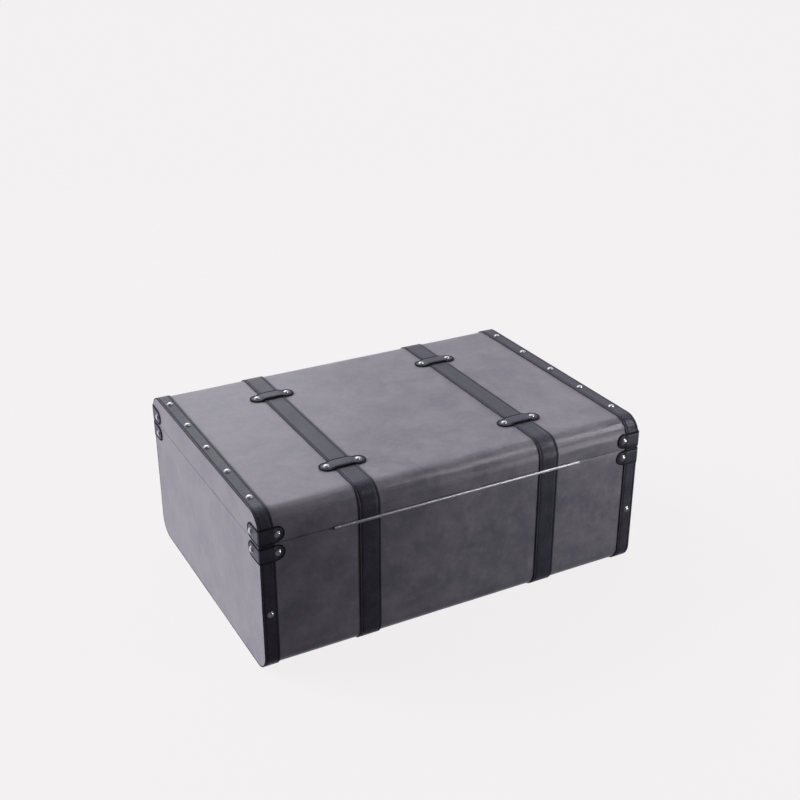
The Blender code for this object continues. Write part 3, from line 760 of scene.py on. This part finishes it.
def end_mesh(up, sign, outer_x, inner_x):
    """Two grids over the end's outline, the outer one dented, joined at their rims."""
    rows = end_rows(up)
    vertices = []
    for x, dent in ((outer_x, END_DENT), (inner_x, 0.0)):
        for z, half in rows:
            for k in range(END_COLUMNS + 1):
                y = MID_Y + half * (2 * k / END_COLUMNS - 1)
                wave = noise.noise(Vector((sign * 4.1, y / DENT_SIZE, z / DENT_SIZE)))
                vertices.append(Vector((x - sign * dent * (0.5 + wave), y, z)))
    stride, layer = END_COLUMNS + 1, len(vertices) // 2
    last = layer - stride
    faces = grid_faces(0, len(rows), stride) + grid_faces(layer, len(rows), stride)
    rim = [*range(END_COLUMNS), *range(END_COLUMNS, last + END_COLUMNS, stride)]
    rim += [*range(last + END_COLUMNS, last, -1), *range(last, 0, -stride)]
    for here, there in zip(rim, rim[1:] + rim[:1]):
        faces.append((here, there, there + layer, here + layer))
    return mesh_of(vertices, faces)


def add_rims():
    """The covering's edge, turned over the boards at the seam down to the lining."""
    for part, up in PARTS:
        loops = []
        for inset, rise in RIM_FOLD:
            loops.append(rectangle_loop(END_X - inset, HALF_Y - inset, EDGE_Z[up] + up * rise))
        piece(f"{part}_rim_fold", loft(loops, closed=True), COVERING, part)


def rectangle_loop(half_x, half_y, z):
    corners = [Vector((a * half_x, MID_Y + b * half_y, z)) for a, b in CORNERS]
    points = []
    for here, there in zip(corners, corners[1:] + corners[:1]):
        points += [here.lerp(there, i / RIM_POINTS) for i in range(RIM_POINTS)]
    return points


def cavity_section(part, up, inset):
    """(y, z) round the lining's inside from back to front, with softened slanted corners."""
    low, high, _ = box(f"{part}_lining")
    mouth, floor = (low.z, high.z) if up > 0 else (high.z, low.z)
    floor -= up * inset
    y = (high.y - low.y) / 2 - inset
    back = [Vector((y, mouth + up * HEM)), Vector((y, floor - up * (y - ARC_Y))), Vector((ARC_Y, floor))]
    front = [Vector((-corner.x, corner.y)) for corner in reversed(back)]
    return soften(back + front, SLANT_CORNER, 1 / 2.2, 5)


def add_linings():
    """Cloth glued inside the base and the lid, like an open tray."""
    for part, up in PARTS:
        mesh = lining_mesh(part, up)
        undulate(mesh, 0.00025, 0.05, seed=8.0 + up)
        piece(f"{part}_lining_cloth", mesh, LINING, part, [f"{part}_lining"])


def lining_mesh(part, up):
    """The cavity's sections at stations along X, drawn in round both end corners."""
    inner_x = box(f"{part}_lining")[1].x - CLOTH
    turn = arc((inner_x - CLOTH_CORNER, CLOTH_CORNER), CLOTH_CORNER, 0, -90, 6)
    straight = frange(CLOTH_CORNER - inner_x, inner_x - CLOTH_CORNER, 0.02)[1:-1]
    stations = [(-x, inset) for x, inset in turn] + [(x, 0.0) for x in straight] + turn[::-1]
    vertices = []
    for x, inset in stations:
        line = cavity_section(part, up, CLOTH + inset)
        vertices += [Vector((x, MID_Y + y, z)) for y, z in line]
    count = len(line)
    faces = [tuple(range(count)), tuple(range(len(vertices) - count, len(vertices)))]
    faces += grid_faces(0, len(stations), count)
    return thicken(mesh_of(vertices, faces, angle=60), CLOTH * 0.9)


def thicken(mesh, thickness):
    """Gives an open surface a thickness on its outer side."""
    holder = add_to_scene("thicken", mesh)
    step = holder.modifiers.new("Solidify", "SOLIDIFY")
    step.thickness = thickness
    step.offset = 1.0
    step.use_even_offset = False
    bpy.context.view_layer.update()
    solid = bpy.data.meshes.new_from_object(holder.evaluated_get(bpy.context.evaluated_depsgraph_get()))
    bpy.data.objects.remove(holder)
    return solid


# Leather pieces


def add_leather(name, kind, side, meshes, body, node):
    """Leather that stands for a CAD node, and its thread."""
    piece(f"{name}{kind}_{side}", meshes[0], TRIM, body, [node])
    piece(f"{name}_stitches_{side}", meshes[1], THREAD, body)


def add_band(name, side, part, up, x, width):
    """A band round a section, with two rows of thread. It stands for the node of its name."""
    samples = section(up, FIT, 0.006)
    spine = Spine([(place + Vector((x, 0, 0)), normal) for place, normal in samples], (1, 0, 0))
    mesh = band_mesh(spine, width)
    undulate(mesh, 0.00008, 0.012, seed=2.0)
    rows = (width / 2 - STITCH_IN, STITCH_IN - width / 2)
    seams = [seam_run(spine, [(run, row) for run in spine.runs], LEATHER) for row in rows]
    add_leather(name, "_leather", side, (mesh, stitches(seams)), part, f"{name}_{side}")


def add_edge_trims():
    for part, up in PARTS:
        for side, sign in SIDES:
            x = sign * (END_X - TRIM_WIDTH / 2)
            add_band(f"{part}_edge_trim", side, part, up, x, TRIM_WIDTH)
            if part == "lid":
                add_top_studs(side, x)
            else:
                add_low_studs(side, x)


def add_top_studs(side, x):
    for row in range(TOP_STUDS):
        y = MID_Y + TOP_STUD_PITCH * (row - (TOP_STUDS - 1) / 2)
        add_stud(f"top_stud_{side}_{row + 1}", (x, y, COVER_TOP + FIT + LEATHER), (0, 0, 1), "lid")


def add_low_studs(side, x):
    for face, out in FACES:
        place = (x, MID_Y + out * (HALF_Y + FIT + LEATHER), LOW_STUD_Z)
        add_stud(f"low_stud_{face}_{side}", place, (0, out, 0), "base")


def add_straps():
    for part, up in PARTS:
        for side, _ in SIDES:
            add_band(f"{part}_strap", side, part, up, box(f"{part}_strap_{side}")[2].x, STRAP_WIDTH)


def add_corner_tabs():
    for part, _ in PARTS:
        for face, out in FACES:
            for side, sign in SIDES:
                add_corner_tab(part, face, out, side, sign)


def add_corner_tab(part, face, out, side, sign):
    """Leather bent round a corner over the edge trim, and its two studs."""
    node = f"{part}_corner_tab_{face}_{side}"
    z = box(node)[2].z
    over_trim = HALF_Y + FIT + LEATHER + FIT
    corners = [
        (END_X - TAB_REACH_X, HALF_Y + FIT + 0.0002),
        (END_X - TRIM_WIDTH - 0.003, HALF_Y + FIT + 0.0003),
        (END_X - TRIM_WIDTH + 0.0005, over_trim),
        (END_X + FIT, over_trim),
        (END_X + FIT, HALF_Y - TAB_REACH_Y),
    ]
    places = [(sign * a, MID_Y + out * b, z) for a, b in corners]
    spine = bent_spine(places, (0, 0, 1), flip=-sign * out)
    name = f"{part}_{face}_tab"
    add_leather(name, "", side, patch_meshes(spine, TAB_WIDTH), part, node)
    front_y = HALF_Y + FIT + TAB_LEATHER + 0.0003
    long_face = (sign * (END_X - TAB_STUD_X), MID_Y + out * front_y, z)
    end_face = (sign * (END_X + FIT + TAB_LEATHER), MID_Y + out * (HALF_Y - TAB_STUD_Y), z)
    add_stud(f"{name}_stud_{side}", long_face, (0, out, 0), part)
    add_stud(f"{name}_end_stud_{side}", end_face, (sign, 0, 0), part)


def add_keepers():
    """Loops that arch over the straps and are nailed down at both round ends."""
    for place in ("back", "front"):
        for side, sign in SIDES:
            name = f"{place}_keeper"
            middle = box(f"{name}_{side}")[2]
            spine = keeper_spine(middle.x, middle.y)
            meshes = patch_meshes(spine, KEEPER_WIDTH, LEATHER, crown=KEEPER_CROWN)
            add_leather(name, "_loop", side, meshes, "lid", f"{name}_{side}")
            for end, s in (("outer", sign), ("inner", -sign)):
                top = (middle.x + s * KEEPER_STUD_X, middle.y, COVER_TOP + FIT + LEATHER)
                add_stud(f"{name}_stud_{end}_{side}", top, (0, 0, 1), "lid")


def keeper_spine(x, y):
    """A keeper's line: flat on the lid at both ends, and arched over the strap."""
    edge, under = STRAP_WIDTH / 2, COVER_TOP + FIT
    over = COVER_TOP + FIT + LEATHER + KEEPER_ARCH
    shape = [(-KEEPER_LENGTH / 2, under), (-edge - 0.0035, under), (-edge + 0.0015, over - 0.0002)]
    shape += [(0, over)] + [(-a, b) for a, b in reversed(shape)]
    return bent_spine([(x + a, y, b) for a, b in shape], (0, 1, 0), radius=0.004)


# Closing straps


def add_tongues():
    """The closing straps, sewn to the lid's straps above the seam."""
    for side, _ in SIDES:
        body = f"closing_strap_{side}"
        low, high, middle = box(body)
        x, back = middle.x, high.y
        spine = bent_spine([(x, back, high.z + SEWN_LENGTH), (x, back, low.z)], (1, 0, 0))
        radii = (TONGUE_TOP_R, TONGUE_WIDTH / 2)
        mesh, thread = patch_meshes(spine, TONGUE_WIDTH, TONGUE_LEATHER, STITCH_IN, radii=radii)
        undulate(mesh, 0.00008, 0.012, seed=6.0)
        bend_across_seam(piece(f"tongue_{side}", mesh, TRIM, None, [body]))
        bend_across_seam(piece(f"tongue_stitches_{side}", thread, THREAD, None))
        add_buckle_ring(side, body, x)
        add_prong(side, body, x)
        add_eyelets(side, body, x, low.y)


def bend_across_seam(made):
    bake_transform(made)


def add_buckle_ring(side, body, x):
    """The buckle's frame: a rectangle of wire, bowed a little to the front."""
    low, high, middle = box(f"buckle_frame_{side}")
    across, up = (high.x - low.x) / 2 - BUCKLE_WIRE_R, (high.z - low.z) / 2 - BUCKLE_WIRE_R
    line = []
    for quarter, (sx, sz) in enumerate(CORNERS):
        centre = (x + sx * (across - BUCKLE_CORNER), middle.z + sz * (up - BUCKLE_CORNER))
        line += arc(centre, BUCKLE_CORNER, 90 * quarter, 90 * quarter + 90, 8)
    bow = [(a, middle.y - BUCKLE_BOW * (1 - ((a - x) / across) ** 2), b) for a, b in line]
    mesh = tube(bow, [BUCKLE_WIRE_R] * len(bow), closed=True, flatten=0.9)
    piece(f"buckle_ring_{side}", mesh, NICKEL, body, [f"buckle_frame_{side}"])


def add_prong(side, body, x):
    """The prong, from the eye that it hinges by to its tip on the frame."""
    low, high, middle = box(f"buckle_prong_{side}")
    y, top, drop = middle.y, high.z, low.z - high.z
    line = [(x, y + lift, top + drop * t) for t, lift in PRONG_LIFT]
    prong = tube(*resample(line, PRONG_RADII, 24), sides=14)
    curl = arc((y + 0.0011, top - 0.0012), PRONG_EYE_R, 0, 340, 17)
    eye = tube([(x, a, b) for a, b in curl], [PRONG_EYE_WIRE] * len(curl), sides=10, closed=True)
    piece(f"prong_{side}", join_meshes([prong, eye]), NICKEL, body, [f"buckle_prong_{side}"])


def add_eyelets(side, body, x, front):
    """Eyelets below the prong, filled with dark plugs of painted shade for the holes through the strap."""
    top = box(f"buckle_prong_{side}")[0].z
    for number in range(TONGUE_HOLES):
        turn = facing((x, front, top - HOLE_PITCH * (number + 0.6)))
        name = f"{side}_{number + 1}"
        piece(f"eyelet_{name}", turned(EYELET, 20, turn), NICKEL, body)
        # a dark plug of painted shade in place of a real opening
        piece(f"hole_shadow_{name}", turned(HOLE_SHADOW_PLUG, 20, turn), THREAD, body)


def add_magnets():
    for side, _ in SIDES:
        add_disc("closure_magnet", side, "base", -1)
        add_disc("magnet_plate", side, f"closing_strap_{side}", 1)


def add_disc(name, side, body, out):
    """A disc just proud of the leather it is set in, facing the front (out = -1) or the back."""
    low, high, middle = box(f"{name}_{side}")
    radius = (high.x - low.x) / 2
    turn = facing((middle.x, high.y if out > 0 else low.y, middle.z), out)
    profile = [(radius, low.y - high.y), (radius, 0)]
    profile += [(radius - DISC_EASE, DISC_PROUD), (DISC_EASE, DISC_PROUD)]
    piece(f"{name}_disc_{side}", turned(profile, 40, turn), SATIN, body, [f"{name}_{side}"])


def resample(line, radii, count):
    """Evenly spaced points and radii on a smooth curve through a line's points."""
    line = np.array(line)
    keys = np.linspace(0, 1, len(line))
    fine = np.linspace(0, 1, count)
    fitted = [np.interp(fine, keys, line[:, i]) for i in range(3)]
    for values in fitted[:2]:
        values[1:-1] = np.convolve(values, (0.25, 0.5, 0.25), mode="valid")
    return [tuple(point) for point in np.array(fitted).T], list(np.interp(fine, keys, radii))


# Hinge


def add_hinge():
    """Rolled knuckles on a bright pin, and their screwed leaves in the base and the lid."""
    axis = box("hinge_pin")[2].yz
    for part, up in PARTS:
        name = f"hinge_{part}_half"
        piece(name, join_meshes(hinge_half(axis, up)), SATIN, part, [f"hinge_{part}_leaf"])
    reach, r = HINGE_LENGTH / 2, HINGE_ROD_R
    rod = [(r - 0.0005, -reach - 0.0004), (r, -reach), (r, reach), (r - 0.0005, reach + 0.0004)]
    piece("hinge_rod", turned(rod, 20, along_x((0, *axis))), NICKEL, "base", ["hinge_pin"])


def hinge_half(axis, up):
    reach, leaf_y = HINGE_LENGTH / 2, box("hinge_base_leaf")[0].y
    pitch = HINGE_LENGTH / KNUCKLES
    shells = []
    for number in range(0 if up < 0 else 1, KNUCKLES, 2):
        start = -reach + pitch * number + KNUCKLE_GAP / 2
        shells.append(knuckle(start, start + pitch - KNUCKLE_GAP, axis, up))
    z = axis[1] + up * (FIT + LEAF / 2)
    shells.append(slab((-reach, leaf_y, z), (reach, axis[0] - KNUCKLE_R - FIT, z)))
    for number in range(SCREWS):
        x = -reach + HINGE_LENGTH * (number + 0.5) / SCREWS
        place = Matrix.Translation((x, leaf_y + SCREW_IN, axis[1] + up * FIT))
        shells.append(turned(SCREW, 20, place @ Matrix.Scale(-up, 4, (0, 0, 1))))
    return shells


def knuckle(start, end, axis, up):
    """A rolled tube, and the tongue of sheet that it is rolled from."""
    r, soft = KNUCKLE_R, 0.0003
    profile = [(KNUCKLE_BORE, start), (r - soft, start), (r, start + soft)]
    profile += [(r, end - soft), (r - soft, end), (KNUCKLE_BORE, end)]
    rolled = turned(profile, 24, along_x((0, *axis)))
    z = axis[1] + up * (FIT + LEAF / 2)
    sheet = slab((start, axis[0] - r - 0.0013, z), (end, axis[0] - 0.0012, z))
    return join_meshes([rolled, sheet])


def slab(low, high):
    """Sheet metal between two corners at the same height, with eased edges."""
    ease, half = 0.00012, LEAF / 2
    loops = []
    for inset, dz in ((ease, -half), (0, ease - half), (0, half - ease), (ease, half)):
        x0, x1, y0, y1 = low[0] + inset, high[0] - inset, low[1] + inset, high[1] - inset
        loops.append([Vector((a, b, low[2] + dz)) for a, b in ((x0, y0), (x1, y0), (x1, y1), (x0, y1))])
    return loft(loops)


# Handle


def add_handle():
    for side, _ in SIDES:
        add_bracket(side)
        add_ferrule(side)
    add_grip()


def add_bracket(side):
    """A plate with two lugs and two rivets, and the rod through the lugs."""
    low, high, middle = box(f"handle_bracket_{side}")
    pin_low, pin_high, axis = box(f"handle_pin_{side}")
    x, z = middle.x, middle.z
    shells = [plate((high.x - low.x) / 2, (high.z - low.z) / 2, (x, high.y, z))]
    shells += [ear(x + s * EAR_X, axis, high.y - BRACKET_SHEET * 0.6) for s in (-1, 1)]
    for s in (-1, 1):
        shells.append(turned(RIVET, 20, facing((x + s * RIVET_X, high.y - BRACKET_SHEET, z))))
    name = f"handle_plate_{side}"
    piece(name, join_meshes(shells), NICKEL, "base", [f"handle_bracket_{side}"])
    reach = (pin_high.x - pin_low.x) / 2
    head = [(radius, height - reach) for radius, height in ROD_HEAD]
    rod = turned(head + [(radius, -height) for radius, height in reversed(head)], 20, along_x(axis))
    piece(f"handle_rod_{side}", rod, NICKEL, "base", [f"handle_pin_{side}"])


def plate(half_x, half_z, place):
    """A bracket's plate, with rounded corners and a small bevel."""
    x, y, z = place
    spine = bent_spine([(x - half_x, y, z), (x + half_x, y, z)], (0, 0, 1))
    bevel, sheet = BRACKET_BEVEL, BRACKET_SHEET
    loops = []
    for inset, height in ((bevel, 0), (0, bevel), (0, sheet - bevel), (bevel, sheet), (bevel * 3, sheet)):
        line = outline(spine.length, half_z, (BRACKET_CORNER, BRACKET_CORNER), inset, 6)
        loops.append(spine.lay(line, height))
    return loft(loops)


def ear(x, axis, root_y):
    """A lug that stands out from the plate, round at its end."""
    half, ease = BRACKET_SHEET / 2, 0.0003
    loops = []
    for dx, inset in ((-half, ease), (ease - half, 0), (half - ease, 0), (half, ease)):
        r = EAR_R - inset
        line = arc((axis.y, axis.z), r, 90, 270, 12) + [(root_y, axis.z - r), (root_y, axis.z + r)]
        loops.append([Vector((x + dx, y, z)) for y, z in line])
    return loft(loops)


def add_ferrule(side):
    """A cup on the grip's end, with an eye on the bracket's rod."""
    low, _, middle = box(f"handle_cap_{side}")
    axis = box(f"handle_pin_{side}")[2]
    place = (middle.x, axis.y, axis.z)
    r, half, ease = FERRULE_EYE_R, FERRULE_EYE_HALF, 0.0004
    eye = [(0.0016, -half), (r - ease, -half), (r, ease - half)]
    eye += [(radius, -height) for radius, height in reversed(eye)]
    cup = list(FERRULE_NECK) + [(radius, low.z - axis.z + height) for radius, height in FERRULE_MOUTH]
    shells = [turned(eye, 28, along_x(place)), turned(cup, 28, Matrix.Translation(place))]
    name = f"handle_ferrule_{side}"
    piece(name, join_meshes(shells), NICKEL, "handle", [f"handle_cap_{side}"])


def add_grip():
    """A rolled leather grip, fuller in the middle, closed by a sewn seam along its back."""
    low, high, middle = box("handle_grip")
    radius, y = (high.y - low.y) / 2, middle.y
    line = grip_line(high.x - radius, low.z + radius, high.z)
    total = len(line) - 1
    bulge = [min(1.0, sin(pi * i / total) * 1.6) for i in range(total + 1)]
    radii = [radius * (GRIP_THIN + (1 - GRIP_THIN) * share) for share in bulge]
    mesh = tube([(a, y, b) for a, b in line], radii, sides=28)
    undulate(mesh, 0.00012, 0.008, seed=1.0)
    back = Vector((0, 1, 0))
    seam = [(Vector((a, y + r - 0.0001, b)), back) for (a, b), r in zip(line[2:-2], radii[2:-2])]
    piece("grip", mesh, TRIM, "handle", ["handle_grip"])
    piece("grip_stitches", stitches([seam]), THREAD, "handle")
    sunk = [place - back * 0.0004 for place, _ in seam]
    piece("grip_seam", tube(sunk, [GRIP_SEAM_R] * len(seam), sides=10), TRIM, "handle")


def grip_line(reach, bottom, top):
    """(x, z) down from one ferrule, round the bend, across and up to the other."""
    bend = top - 0.004 - bottom
    side = [(-reach, top + 0.0012), (-reach, top - 0.002)]
    side += arc((-reach + bend, bottom + bend), bend, 180, 270, 14)
    across = [(a, bottom) for a in frange(-reach + bend, reach - bend, 0.004)[1:-1]]
    return side + across + [(-a, b) for a, b in reversed(side)]


# Kept CAD nodes


def finish_boards():
    """The boards keep their CAD shapes and get a material."""
    for name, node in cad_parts.items():
        if any(word in name for word in ("panel", "rail", "moulding")):
            node.data.materials.clear()
            node.data.materials.append(BOARD)


# Stage


def add_camera():
    data = bpy.data.cameras.new("camera")
    data.lens = CAMERA_LENS
    data.sensor_width = 36
    camera = add_to_scene("camera", data)
    camera.location = CAMERA_PLACE + Vector((0, MID_Y, 0))
    camera.rotation_euler = (pi / 2 - CAMERA_PITCH, 0, pi - CAMERA_YAW)
    bpy.context.scene.camera = camera


def paper(name, shading):
    """Paper that shows its own even colour, with this share of real shading."""
    made = bpy.data.materials.new(name)
    made.use_nodes = True
    tree = made.node_tree
    tree.nodes.clear()
    blend = add_node(tree, "MixShader", Fac=shading)
    for number, kind in ((1, "Emission"), (2, "BsdfDiffuse")):
        tree.links.new(add_node(tree, kind, Color=(*PAPER, 1)).outputs[0], blend.inputs[number])
    add_node(tree, "OutputMaterial", Surface=blend.outputs[0])
    return made


def add_backdrop(name, mesh, material):
    """A part of the studio that throws no light on the trunk."""
    made = add_to_scene(name, mesh)
    mesh.materials.append(material)
    made.visible_diffuse = False
    made.visible_glossy = False
    return made


def add_floor():
    mesh = bpy.data.meshes.new("floor")
    mesh.from_pydata([(a * FLOOR_HALF, b * FLOOR_HALF, 0) for a, b in CORNERS], [], [(0, 1, 2, 3)])
    add_backdrop("floor", mesh, paper("paper", FLOOR_SHADING))
    rings = arc((0.0, -DOME_SUNK), DOME_R, 0, 80, 8) + [(0.1, DOME_R - DOME_SUNK)]
    add_backdrop("dome", turned(rings, 48), paper("dome_paper", 0.0)).visible_shadow = False


def add_world():
    """Soft room light, brighter beyond the trunk's front than on the hinge side."""
    world = bpy.data.worlds.new("studio")
    bpy.context.scene.world = world
    world.use_nodes = True
    tree = world.node_tree
    coordinates = add_node(tree, "TexCoord").outputs["Generated"]
    y = add_node(tree, "SeparateXYZ", Vector=coordinates).outputs["Y"]
    limits = {"From_Min": -0.50, "From_Max": 0.05, "To_Min": 0.92, "To_Max": 0.11}
    strength = add_node(tree, "MapRange", Value=y, **limits).outputs["Result"]
    set_inputs(tree, tree.nodes["Background"], Color=(0.95, 0.945, 1.06, 1), Strength=strength)


def add_light(name, kind, towards, power, colour, gloss=True):
    """A light that points along a direction. gloss=False leaves no reflection of it."""
    data = bpy.data.lights.new(name, kind)
    data.energy = power
    data.color = colour
    made = add_to_scene(name, data)
    made.rotation_euler = Vector(towards).to_track_quat("-Z", "Y").to_euler()
    made.visible_glossy = gloss
    return made


def add_softbox(name, place, aim, size, power, spread=180, diffuse=True, gloss=True, colour=(1, 1, 1)):
    """A rectangular light. diffuse=False leaves no shading from it."""
    made = add_light(name, "AREA", Vector(aim) - Vector(place), power, colour, gloss)
    made.data.shape = "RECTANGLE"
    made.data.size, made.data.size_y = size
    made.data.spread = radians(spread)
    made.location = place
    made.visible_diffuse = diffuse


def add_lights():
    """A soft key, a box in front, and three that model the rear edge."""
    key = add_light("key", "SUN", (-0.9, 0.85, -0.52), 4.5, (1.0, 0.95, 0.97), gloss=False)
    key.data.angle = radians(40)
    add_softbox("front_softbox", (-0.1, -1.9, 1.3), (0.2, 0.0, 0.26), (1.2, 1.0), 5.5)
    add_softbox(
        "edge_gloss", (-1.15, 0.95, 1.45), (-0.34, 0.22, 0.25), (0.5, 0.8), 0.82,
        spread=34, diffuse=False, colour=(0.98, 0.95, 1.0),
    )
    add_softbox(
        "right_fill", (-1.0, 1.05, 0.42), (-0.3, 0.24, 0.14), (0.5, 0.5), 1.5,
        spread=70, gloss=False, colour=(0.97, 0.95, 1.0),
    )
    add_softbox(
        "rear_gloss", (-1.0, 1.05, 0.135), (-0.2, 0.24, 0.20), (0.7, 0.23), 0.68,
        spread=70, diffuse=False,
    )


def add_stage():
    add_camera()
    add_floor()
    add_world()
    add_lights()
    view = bpy.context.scene.view_settings
    view.view_transform = "Standard"
    view.look = "None"


def main():
    add_wraps()
    add_end_skins()
    add_rims()
    add_linings()
    add_edge_trims()
    add_straps()
    add_corner_tabs()
    add_keepers()
    add_tongues()
    add_magnets()
    add_hinge()
    add_handle()
    finish_boards()
    add_stage()


main()
